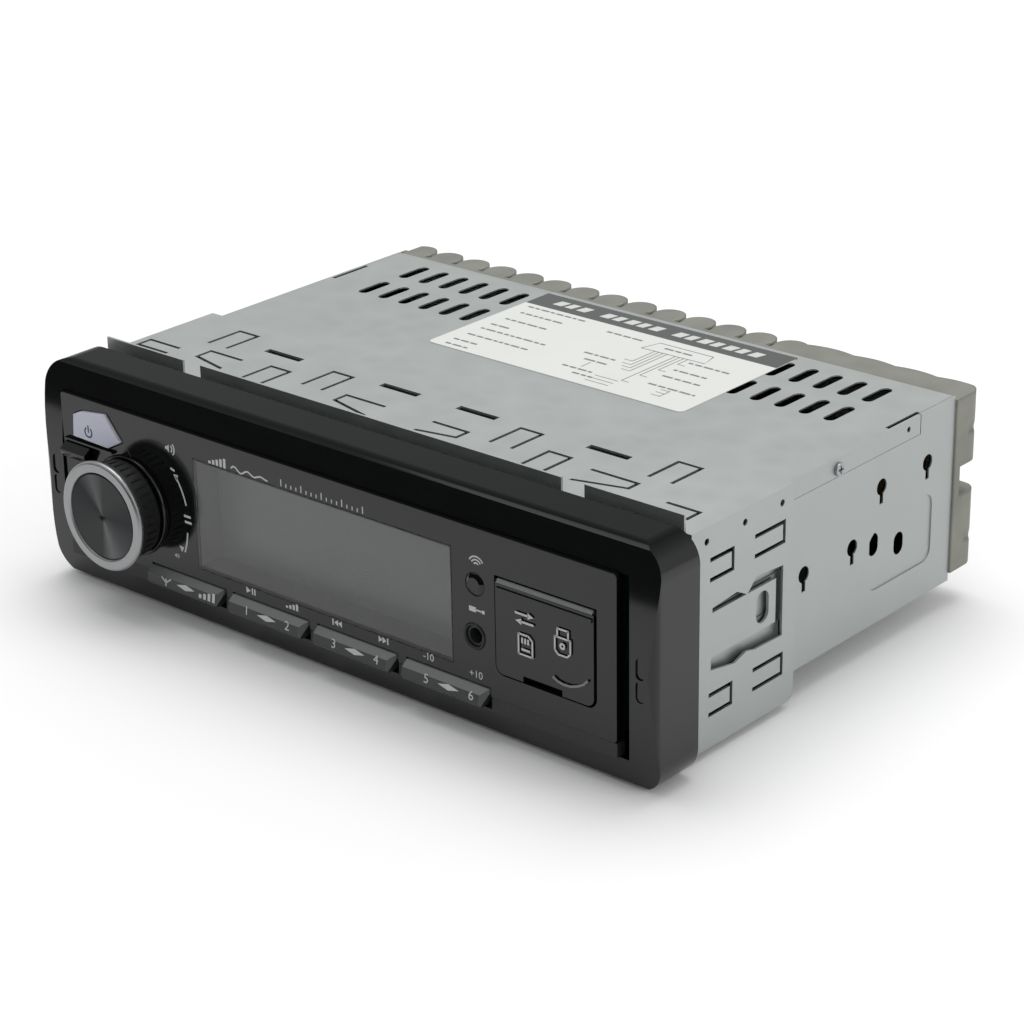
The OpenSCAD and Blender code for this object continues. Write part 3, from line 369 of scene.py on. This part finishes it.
# Coated paper: off-white and satin, faintly cloudy where the glue lies under it.
label_paper, tree, shader = skin("coated_label_paper", Roughness=0.42)
clouds(tree, shader, 20, "#C9CAC6", "#D1D2CE", detail=4)
dress(label_paper, "rating_label")

label_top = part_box("rating_label")[1].z / MM


def stroke(points, width):
    """The outline of a line of that width through the points."""
    left, right = [], []
    for i, here in enumerate(points):
        a, b = points[max(i - 1, 0)], points[min(i + 1, len(points) - 1)]
        run, rise = b[0] - a[0], b[1] - a[1]
        half = width / 2 / math.hypot(run, rise)
        left.append((here[0] - rise * half, here[1] + run * half))
        right.append((here[0] + rise * half, here[1] - run * half))
    return left + right[::-1]


def bar(x0, y0, x1, y1):
    """The outline of an upright rectangle between two corners."""
    return [(x0, y0), (x1, y0), (x1, y1), (x0, y1)]


def arc(x, y, r, start, end, width, steps=14):
    """The outline of part of a ring, between two angles in degrees."""
    turns = [math.radians(start + (end - start) * i / steps) for i in range(steps + 1)]
    return stroke([(x + r * math.cos(t), y + r * math.sin(t)) for t in turns], width)


def printed(name, body, ink, outlines, place, lift=0.03):
    """A thin layer of ink in those outlines; place turns (a, b, height) into a point in millimetres."""
    verts, faces = [], []
    for line in outlines:
        n, start = len(line), len(verts)
        verts += [place(a, b, -0.02) for a, b in line] + [place(a, b, lift) for a, b in line]
        faces += [tuple(range(start, start + n)), tuple(range(start + n, start + 2 * n))]
        faces += [(start + i, start + (i + 1) % n, start + n + (i + 1) % n, start + n + i) for i in range(n)]
    made = mesh_piece(name, verts, faces, ink)
    shell = bmesh.new()
    shell.from_mesh(made.data)
    bmesh.ops.recalc_face_normals(shell, faces=shell.faces)
    shell.to_mesh(made.data)
    shell.free()
    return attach(made, body)


def on_label(a, b, height):
    """A point of the label's print, seen from above."""
    return (a, b, label_top + height)


def worn_ink(name, hex_text, rough):
    """Printing ink, thinned a little in places as a screen print is."""
    made, tree, shader = skin(name, Roughness=rough)
    spot = add(tree, "ShaderNodeTexCoord").outputs["Object"]
    patch = add(tree, "ShaderNodeTexNoise", {"Vector": spot, "Scale": 1 / (0.9 * MM), "Detail": 2})
    full = colour(hex_text)
    thin = [c * 0.8 for c in full[:3]] + [1]
    ink = add(tree, "ShaderNodeMix", {"Factor": patch.outputs["Fac"], "A": thin, "B": full}, data_type="RGBA")
    tree.links.new(ink.outputs["Result"], shader.inputs["Base Color"])
    return made


label_ink = worn_ink("grey_label_ink", "#757776", 0.5)
header_ink = worn_ink("dark_label_ink", "#434544", 0.4)
label_white = worn_ink("unprinted_white", "#C9CAC6", 0.42)

printed("label_header", "chassis", header_ink, [bar(-34.4, 93.2, 44.9, 102.2)], on_label)
blocks = []
block_low, block_high, block_lean = 96.1, 99.3, 0.8
for start, count in ((-28, 3), (-12.5, 5), (10.5, 7)):
    for i in range(count):
        a = start + i * 3.9
        b = a + 2.9 - 0.5 * (i % 2)
        blocks.append([(a, block_low), (b, block_low),
                       (b + block_lean, block_high), (a + block_lean, block_high)])
printed("label_header_blocks", "chassis", label_white, blocks, on_label, lift=0.06)

# Lines of text as left end, right end and place, each broken into words of chance length.
random.seed(7)
words = []
word_gap, half_height, shortest = 0.55, 0.38, 0.8
rows = [(-31.7, -12, 91), (-30.2, -16, 86.2), (-30.2, -15.5, 80.3), (-30.5, -24, 75), (-30.5, -9.5, 71.2),
        (-30.3, -9.6, 65.9), (-30.6, -22, 61.1), (-30.3, -23.2, 57.6), (-3.7, 7.9, 88.5), (15.2, 23.6, 87.6),
        (26.2, 38.8, 83), (26.2, 36.1, 77), (26.5, 37.7, 72.2), (27.1, 41, 66),
        (1.3, 11, 73.4), (4.2, 11.5, 69.8), (2.7, 12, 63.3), (8, 14, 60.6)]
for start, end, y in rows:
    a = start
    while a < end - shortest:
        b = min(a + random.uniform(1.1, 3.4), end)
        words.append(bar(a, y - half_height, b, y + half_height))
        a = b + word_gap
printed("label_text_bars", "chassis", label_ink, words, on_label)

# Wiring diagram: a plug outline, four leads to each side, and the loudspeaker lines.
plug_line, lead_line = 0.3, 0.25
lead_top, lead_pitch = 84.6, 1.25
leads = [stroke([(10.4, 84.4), (12, 90), (28.4, 90)], plug_line),
         stroke([(28.4, 90), (29.6, 84.9), (10.4, 84.4)], plug_line)]
for first, step, arm, ends in ((14.6, lead_pitch, -2.6, (75.6, 73.4, 71.6, 69.8)),
                               (24.6, -lead_pitch, 2.2, (80.6, 74.6, 69, 63.5))):
    for i, end in enumerate(ends):
        x = first + i * step
        leads.append(stroke([(x, lead_top), (x, end)], lead_line))
        leads.append(stroke([(x, end), (x + arm, end)], lead_line))
for i in range(3):
    y = 62.5 - i * 1.9
    leads.append(stroke([(13.4, y), (20.6, y)], lead_line))
    leads.append(stroke([(32, y + 2), (34.5, y + 2)], lead_line))
leads.append(stroke([(34.6, 60.4), (34.6, 64.8)], lead_line))
leads.append(stroke([(7.2, 64.9), (7.2, 68.6)], lead_line))
printed("label_wiring_diagram", "chassis", label_ink, leads, on_label)


# ---- Screws and latches ----------------------------------------------------
# Zinc-plated steel screws with pan heads, cold-headed and thread-rolled, and the
# spring latches that hold the sleeve, stamped from hard spring strip.

# Zinc plate: bright grey with pits of about 0.8 mm, coarser than real ones so that they show.
zinc_plate, tree, shader = skin("zinc_plated_steel", Base_Color=colour("#9FA3A4"), Metallic=1, Roughness=0.36)
grain(tree, shader, 0.8, 0.3, 0.03, detail=3)
dress(zinc_plate, "cover_screws", "heat_sink_screws", "board_screws", "fascia_screws", edge_mm=0.1)

# Spring strip: rolled, so fine streaks run along it and draw the light out sideways.
spring_steel, tree, shader = skin("spring_steel_strip", Base_Color=colour("#8C9193"), Metallic=1,
                                  Roughness=0.36)
spot = add(tree, "ShaderNodeTexCoord").outputs["Object"]
rolled = add(tree, "ShaderNodeMapping", {"Vector": spot, "Scale": (1, 0.08, 1)})
streaks = add(tree, "ShaderNodeTexNoise", {"Vector": rolled.outputs["Vector"], "Scale": 1 / (0.5 * MM)})
relief = add(tree, "ShaderNodeBump", {"Height": streaks.outputs["Fac"], "Strength": 0.2,
                                      "Distance": 0.01 * MM})
tree.links.new(relief.outputs["Normal"], shader.inputs["Normal"])
dress(spring_steel, "side_latches", "chip_clamp", "encoder_bush", edge_mm=0.08)

screw_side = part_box("cover_screws")[1].x / MM
screw_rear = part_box("heat_sink_screws")[1].y / MM
screw_z = sum(corner.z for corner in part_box("cover_screws")) / 2 / MM
cover_screw_y = 56
sink_screws = ((-60, 2), (0, 2), (86, -12), (86, 16))
# Painted shadow: the cross recesses are not cut into the heads; dark ink in their shape stands for the shade
# inside them.
recess_shadow_ink = worn_ink("recess_shadow", "#1A1B1C", 0.6)


def cross(x, y, reach):
    """The two bars of a cross recess."""
    return [bar(x - reach, y - 0.2, x + reach, y + 0.2), bar(x - 0.2, y - reach, x + 0.2, y + reach)]


for side_name, way in (("right", 1), ("left", -1)):
    printed("cover_screw_recess_shadow_" + side_name, "chassis", recess_shadow_ink, cross(cover_screw_y, screw_z, 0.95),
            lambda a, b, height: (way * (screw_side + height), a, b))
sink_crosses = [line for x, z in sink_screws for line in cross(x, z, 1.7)]
printed("heat_sink_screw_recess_shadows", "chassis", recess_shadow_ink, sink_crosses,
        lambda a, b, height: (a, screw_rear + height, b))


# ---- Fascia frame and panel -------------------------------------------------
# One ABS moulding polished like piano lacquer, with a back moulding behind it and a flat
# panel let into it. The polish shows a faint orange peel; faces that look up have a painted shade, a weaker
# reflection.

# Piano black: deep and mirror-like, a little hazy with handling. The haze and the peel
# are drawn larger than life, at 18 and 3 mm. The frame's own rounding needs no bevel.
piano_black, tree, shader = skin("piano_black_abs", Base_Color=colour("#0B0C0C"), IOR=1.5)
haze(tree, shader, 18, 0.07, 0.16, detail=5)
grain(tree, shader, 3, 0.1, 0.01)
# Painted shade: faces that look up get a much lower specular level, so the top reflects less and looks
# darker.
facing = add(tree, "ShaderNodeSeparateXYZ", {"Vector": add(tree, "ShaderNodeTexCoord").outputs["Normal"]})
painted_top_shade = add(tree, "ShaderNodeMapRange", {"Value": facing.outputs["Z"], "From Min": 0.6, "From Max": 0.95,
                                         "To Min": 0.46, "To Max": 0.045})
tree.links.new(painted_top_shade.outputs["Result"], shader.inputs["Specular IOR Level"])
dress(piano_black, "front_frame")
dress(piano_black, "front_panel", "knob_collar", "mode_key", "port_door", edge_mm=0.2, segments=3)

# Spark-textured ABS: the eroded mould leaves an even, dull black grain.
eroded_abs, tree, shader = skin("spark_textured_abs", Base_Color=colour("#1A1B1B"), Roughness=0.5)
grain(tree, shader, 0.4, 0.4, 0.03)
dress(eroded_abs, "fascia_back", "display_shroud", "key_strip", "volume_knob", "aux_ring", edge_mm=0.15)


# ---- Display ----------------------------------------------------------------
# A clear acrylic lens over a grey liquid-crystal glass, set back in a dark well. The
# glass lies on a white plate that spreads the light of small lamps.

# Clear acrylic: moulded and polished, with hardly any haze.
clear_acrylic, tree, shader = skin("clear_acrylic", Base_Color=colour("#F2F4F4"), IOR=1.49,
                                   Transmission_Weight=1)
haze(tree, shader, 20, 0, 0.04)
dress(clear_acrylic, "display_lens")

# Liquid-crystal glass, unlit: flat mid grey, slightly cloudy.
lcd_film, tree, shader = skin("unlit_lcd_glass", Roughness=0.35)
clouds(tree, shader, 30, "#565857", "#5C5E5D")
dress(lcd_film, "lcd_glass")

# Light guide: milky white, with a frosted back.
light_guide, tree, shader = skin("white_light_guide", Base_Color=colour("#E4E6E8"), Roughness=0.4)
grain(tree, shader, 1, 0.2, 0.02)
dress(light_guide, "lcd_backlight")


# ---- Volume knob ------------------------------------------------------------
# A black moulded skirt with ribs, a satin plated ring and a spun dark aluminium cap. The
# ring and the cap are pressed into the skirt, and the whole turns on the encoder's shaft.

# Satin plate: bright but soft, from the blasted plastic under the chrome.
satin_plate, tree, shader = skin("satin_plated_ring", Base_Color=colour("#9FA0A1"), Metallic=1, Roughness=0.4)
grain(tree, shader, 0.5, 0.25, 0.02)
dress(satin_plate, "knob_ring", edge_mm=0.15)

# Spun aluminium, dyed black: turning marks run round the cap and make its gloss anisotropic.
# The two fans of light are painted highlights in its colour; each stop is a share of the turn and the shade
# there.
spun_aluminium, tree, shader = skin("spun_black_aluminium", Base_Color=colour("#4A4B4C"), Metallic=1,
                                    Roughness=0.32, Anisotropic=0.85)
around = add(tree, "ShaderNodeTangent", direction_type="RADIAL", axis="Y")
tree.links.new(around.outputs["Tangent"], shader.inputs["Tangent"])
dial = add(tree, "ShaderNodeMapping", {"Vector": add(tree, "ShaderNodeTexCoord").outputs["Generated"],
                                       "Location": (-0.5, 0.5, 0), "Rotation": (math.radians(90), 0, 0)})
# Painted highlight: two bright fans are painted into the base colour by angle round the cap.
turned = add(tree, "ShaderNodeTexGradient", {"Vector": dial.outputs["Vector"]}, gradient_type="RADIAL")
painted_highlight_fans = add(tree, "ShaderNodeValToRGB", {"Fac": turned.outputs["Fac"]})
stops = painted_highlight_fans.color_ramp.elements
for place, shade in ((0.12, "#303132"), (0.2, "#5A5B5C"), (0.27, "#383939"), (0.5, "#303132"),
                     (0.62, "#4C4D4E"), (0.7, "#646566"), (0.76, "#383939")):
    stops.new(place).color = colour(shade)
stops[0].color = colour("#38393A")
stops[-1].color = colour("#38393A")
tree.links.new(painted_highlight_fans.outputs["Color"], shader.inputs["Base Color"])
dress(spun_aluminium, "knob_cap")


# ---- Keys -------------------------------------------------------------------
# Rocker keys, with a painted highlight that makes their slopes facing up and right paler, and the
# power key, which is frosted clear plastic. The infrared window is dark filter plastic.

# Key ABS: satin black, with a painted highlight: paler on faces turned up and to the right.
key_abs, tree, shader = skin("satin_black_key_abs", Base_Color=colour("#2A2C2C"), Roughness=0.4)
grain(tree, shader, 0.5, 0.2, 0.02)
# Painted highlight: faces that turn up and to the right get a paler base colour.
facing = add(tree, "ShaderNodeTexCoord").outputs["Normal"]
highlight_way = (0.55, 0, 0.83)
tilt = add(tree, "ShaderNodeVectorMath", {0: facing, 1: highlight_way}, operation="DOT_PRODUCT")
highlight_share = add(tree, "ShaderNodeMapRange", {"Value": tilt.outputs["Value"], "From Min": 0.3, "From Max": 0.6})
painted_highlight = add(tree, "ShaderNodeMix", {"Factor": highlight_share.outputs["Result"], "A": colour("#2A2C2C"),
                                     "B": colour("#676A69")}, data_type="RGBA")
tree.links.new(painted_highlight.outputs["Result"], shader.inputs["Base Color"])
dress(key_abs, "rocker_band", "rocker_1_2", "rocker_3_4", "rocker_5_6", edge_mm=0.3, segments=3)

# Frosted plastic: light goes a little way in, so the key looks milky.
frosted_key, tree, shader = skin("frosted_clear_key", Base_Color=colour("#B3B4C2"), Roughness=0.35,
                                 Subsurface_Weight=0.4, Subsurface_Scale=0.002)
grain(tree, shader, 0.6, 0.15, 0.02)
dress(frosted_key, "power_button", edge_mm=0.4, segments=3)

# Infrared filter: looks black and very smooth, with a plum cast.
ir_filter, tree, shader = skin("dark_infrared_filter", Base_Color=colour("#0A0708"), Roughness=0.08, IOR=1.49)
haze(tree, shader, 4, 0.05, 0.1)
dress(ir_filter, "ir_sensor", edge_mm=0.2)


# ---- Printing on the panel, keys and door ------------------------------------
# Light grey ink, pad-printed: figures on the rocker keys, plain signs for the rest,
# and two arcs beside the knob that show which way it turns.

panel_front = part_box("display_lens")[0].y / MM
rocker_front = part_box("rocker_1_2")[0].y / MM
door_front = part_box("port_door")[0].y / MM
button_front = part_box("power_button")[0].y / MM
key_ink = worn_ink("light_grey_pad_print", "#B4B6B3", 0.45)
dark_ink = worn_ink("black_pad_print", "#17181B", 0.4)


def facing_driver(front):
    """Places print on a flat face that looks at the driver."""
    return lambda a, b, height: (a, front - height, b)


rocker_foot, rocker_slope = -19.5, 0.125


def on_rocker(a, b, height):
    """A point on the rocker keys' face, which leans back towards its top."""
    return (a, rocker_front + rocker_slope * (b - rocker_foot) - height, b)


def figure(name, body, text, size, x, front, z, lean=0):
    """Printed figures, centred on a point of a face that looks at the driver."""
    data = bpy.data.curves.new(name, "FONT")
    data.body = text
    data.size = size * MM
    data.align_x = "CENTER"
    data.align_y = "CENTER"
    data.extrude = 0.03 * MM
    data.materials.append(key_ink)
    made = bpy.data.objects.new(name, data)
    made.location = Vector((x, front, z)) * MM
    made.rotation_euler = (math.radians(90 - lean), 0, 0)
    bpy.context.scene.collection.objects.link(made)
    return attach(made, body)


def diamond(x, z):
    """The outline of a double arrow that lies flat."""
    return [(x - 3.1, z), (x, z + 0.75), (x + 3.1, z), (x, z - 0.75)]


# Rocker keys: two figures and a double arrow on each, a mast and rising bars on the first.
rocker_mid = -17.9
rocker_face = on_rocker(0, rocker_mid, 0)[1]
rocker_lean = math.degrees(math.atan(rocker_slope))
figure_size = 3.2
rockers = [("rocker_1_2", "1", "2", -18.3), ("rocker_3_4", "3", "4", 10), ("rocker_5_6", "5", "6", 38.6)]
for body, left, right, x in rockers:
    figure(body + "_figure_left", body, left, figure_size, x - 6.6, rocker_face, rocker_mid, rocker_lean)
    figure(body + "_figure_right", body, right, figure_size, x + 6.7, rocker_face, rocker_mid, rocker_lean)
    printed(body + "_arrows", body, key_ink, [diamond(x, rocker_mid)], on_rocker)
mast = [bar(-52.6, -19.2, -52.2, -17.3), stroke([(-54, -17.2), (-52.4, -18.4), (-50.8, -17.2)], 0.4)]
columns = [bar(-41 + i * 1.5, -19, -40.1 + i * 1.5, -18 + i * 0.42) for i in range(4)]
printed("rocker_band_signs", "rocker_band", key_ink, [diamond(-45.6, rocker_mid)] + mast + columns, on_rocker)

# Signs above the rocker keys: play and pause, intro scan, skip back, skip forward.
legend_z = -13.5
legend_low, legend_high = legend_z - 0.8, legend_z + 0.8
play = [[(-26.6, legend_low), (-25.2, legend_z), (-26.6, legend_high)],
        bar(-24.8, legend_low, -24.4, legend_high), bar(-24, legend_low, -23.6, legend_high)]
intro = [bar(-13.6 + i * 1.1, legend_low, -12.9 + i * 1.1, legend_z - 0.3 + i * 0.4) for i in range(4)]
skip = []
for x, way in ((3.1, -1), (17.2, 1)):
    for tail in (-1.3, -0.1):
        skip.append([(x + way * tail, legend_low), (x + way * (tail + 1.2), legend_z),
                     (x + way * tail, legend_high)])
    skip.append(bar(x + way * 1.3, legend_low, x + way * 1.7, legend_high))
printed("key_signs", "chassis", key_ink, play + intro + skip, facing_driver(panel_front))
figure("minus_ten", "chassis", "-10", 2.5, 31.1, panel_front, legend_z)
figure("plus_ten", "chassis", "+10", 2.5, 45.2, panel_front, legend_z)

# Around the knob: two arcs with arrow heads, two bars, and a loudspeaker cone at each end.
knob_x, knob_z = -65.5, -2.2
turn_signs = [arc(knob_x, knob_z, 20.4, 35, 14, 0.45), arc(knob_x, knob_z, 19.8, -6, -22, 0.45),
              [(-49.5, 9.9), (-47.9, 10), (-48.5, 8.2)], [(-48.2, -9.9), (-49, -8.3), (-47.4, -8.5)],
              stroke([(-50.4, 11.2), (-49, 10.8)], 0.55),
              bar(-46.7, -0.3, -44.4, 0.3), bar(-46.5, -1.8, -44.2, -1.2)]
cone = [(-0.5, -0.35), (0, -0.35), (0.8, -1), (0.8, 1), (0, 0.35), (-0.5, 0.35)]
for x, z, size in ((-51.3, 16.2, 1), (-50.5, -11.3, 0.6)):
    turn_signs.append([(x + a * size, z + b * size) for a, b in cone])
    turn_signs.append(arc(x + 0.7 * size, z, 1.1 * size, -45, 45, 0.4 * size))
turn_signs.append(arc(-50.6, 16.2, 1.9, -45, 45, 0.4))

# On the panel: rising bars, a fading wave and a dial above the window, and the signs of
# the infrared window and of the audio socket. A seam line runs up and left from the knob.
rise = [bar(-37.1 + i * 1.25, 15.9, -36.3 + i * 1.25, 16.6 + i * 0.42) for i in range(5)]
ripple = [(-29.6 + i * 0.8, 16.5 + 0.75 * math.sin(i * 1.15) * (1 - i / 20)) for i in range(16)]
scale = [bar(-13.4 + i * 1.6, 16.2, -13.1 + i * 1.6, 17.9 if i % 4 == 0 else 17.1) for i in range(17)]
beam = [arc(45.9, 12.9, 0.7 + i * 0.75, 30, 150, 0.35) for i in range(3)]
plug = [bar(43.6, 1.7, 45.6, 2.9), bar(45.5, 2.1, 47.2, 2.5), bar(47.3, 1.9, 48.1, 2.7)]
panel_signs = turn_signs + rise + [stroke(ripple, 0.4)] + scale + beam + plug
printed("panel_signs", "chassis", key_ink, panel_signs, facing_driver(panel_front))
seam_ink = worn_ink("seam_shadow", "#3C3E3E", 0.3)
printed("panel_seam", "chassis", seam_ink, [stroke([(-71.3, 20.7), (-68.3, 16), (-64.2, 10.6)], 0.22)],
        facing_driver(panel_front))

# On the door: arrows for data both ways, a memory card and a plug, a painted highlight along the rolled upper
# edge, and a raised grip arc in the same light grey.
door_line = 0.42
card = [stroke(ends, door_line) for ends in (
    [(58.2, 0.8), (61, 0.8)], [(61, 0.9), (62.2, -0.2)], [(62.2, -0.2), (62.2, -4.1)],
    [(62.3, -4), (58.2, -4)], [(58.3, -4.1), (58.3, 0.9)])]
contacts = [bar(59.1 + i * 0.85, -1.3, 59.6 + i * 0.85, 0) for i in range(3)] + [bar(59.1, -3, 61.5, -2.5)]
stick = [stroke(ends, door_line) for ends in (
    [(69.2, 3.2), (69.2, 5.3)], [(69.1, 5.2), (72.3, 5.2)], [(72.2, 5.3), (72.2, 3.2)],
    [(68.4, 3.2), (72.9, 3.2)], [(68.5, 3.3), (68.5, 0)], [(68.5, 0), (69.4, -0.9)],
    [(69.4, -0.9), (71.9, -0.9)], [(71.9, -0.9), (72.8, 0)], [(72.8, 0), (72.8, 3.3)])]
stick.append(arc(70.6, 1.3, 0.55, 0, 360, 0.5))
swap = [bar(57.4, 5.3, 61.2, 5.8), [(61, 4.8), (61, 6.3), (62.6, 5.55)],
        bar(59, 3.5, 62.6, 4), [(59.2, 3), (59.2, 4.5), (57.5, 3.75)]]
printed("door_signs", "port_door", key_ink, card + contacts + stick + swap, facing_driver(door_front))
highlight_and_grip_grey = worn_ink("door_highlight_and_grip_grey", "#6F7371", 0.5)
hinge_y, hinge_z, barrel = -17.3, 10.7, 1.05


def on_barrel(a, b, height):
    """A point on the door's rolled upper edge, b degrees up from the front."""
    reach = barrel + height
    return (a, hinge_y - reach * math.cos(math.radians(b)), hinge_z + reach * math.sin(math.radians(b)))


# Painted highlight: light grey strips on the upper front of the rolled edge, where it faces up.
barrel_highlight_strips = [bar(51.9, start, 78.5, start + 10) for start in range(8, 68, 10)]
printed("door_rolled_edge_highlight", "port_door", highlight_and_grip_grey, barrel_highlight_strips, on_barrel)
grip_arc = [(67.9, -6.6), (69.2, -7.3), (70.9, -7.6), (72.8, -7.5), (74.8, -6.8), (76.4, -5.9), (77.6, -4.7)]
printed("door_grip_arc", "port_door", highlight_and_grip_grey, [stroke(grip_arc, 0.55)], facing_driver(door_front),
        lift=0.12)
printed("power_sign", "power_button", dark_ink,
        [arc(-78.2, 13.7, 1.25, -235, 55, 0.42), bar(-78.4, 13.6, -78, 15.5)], facing_driver(button_front))
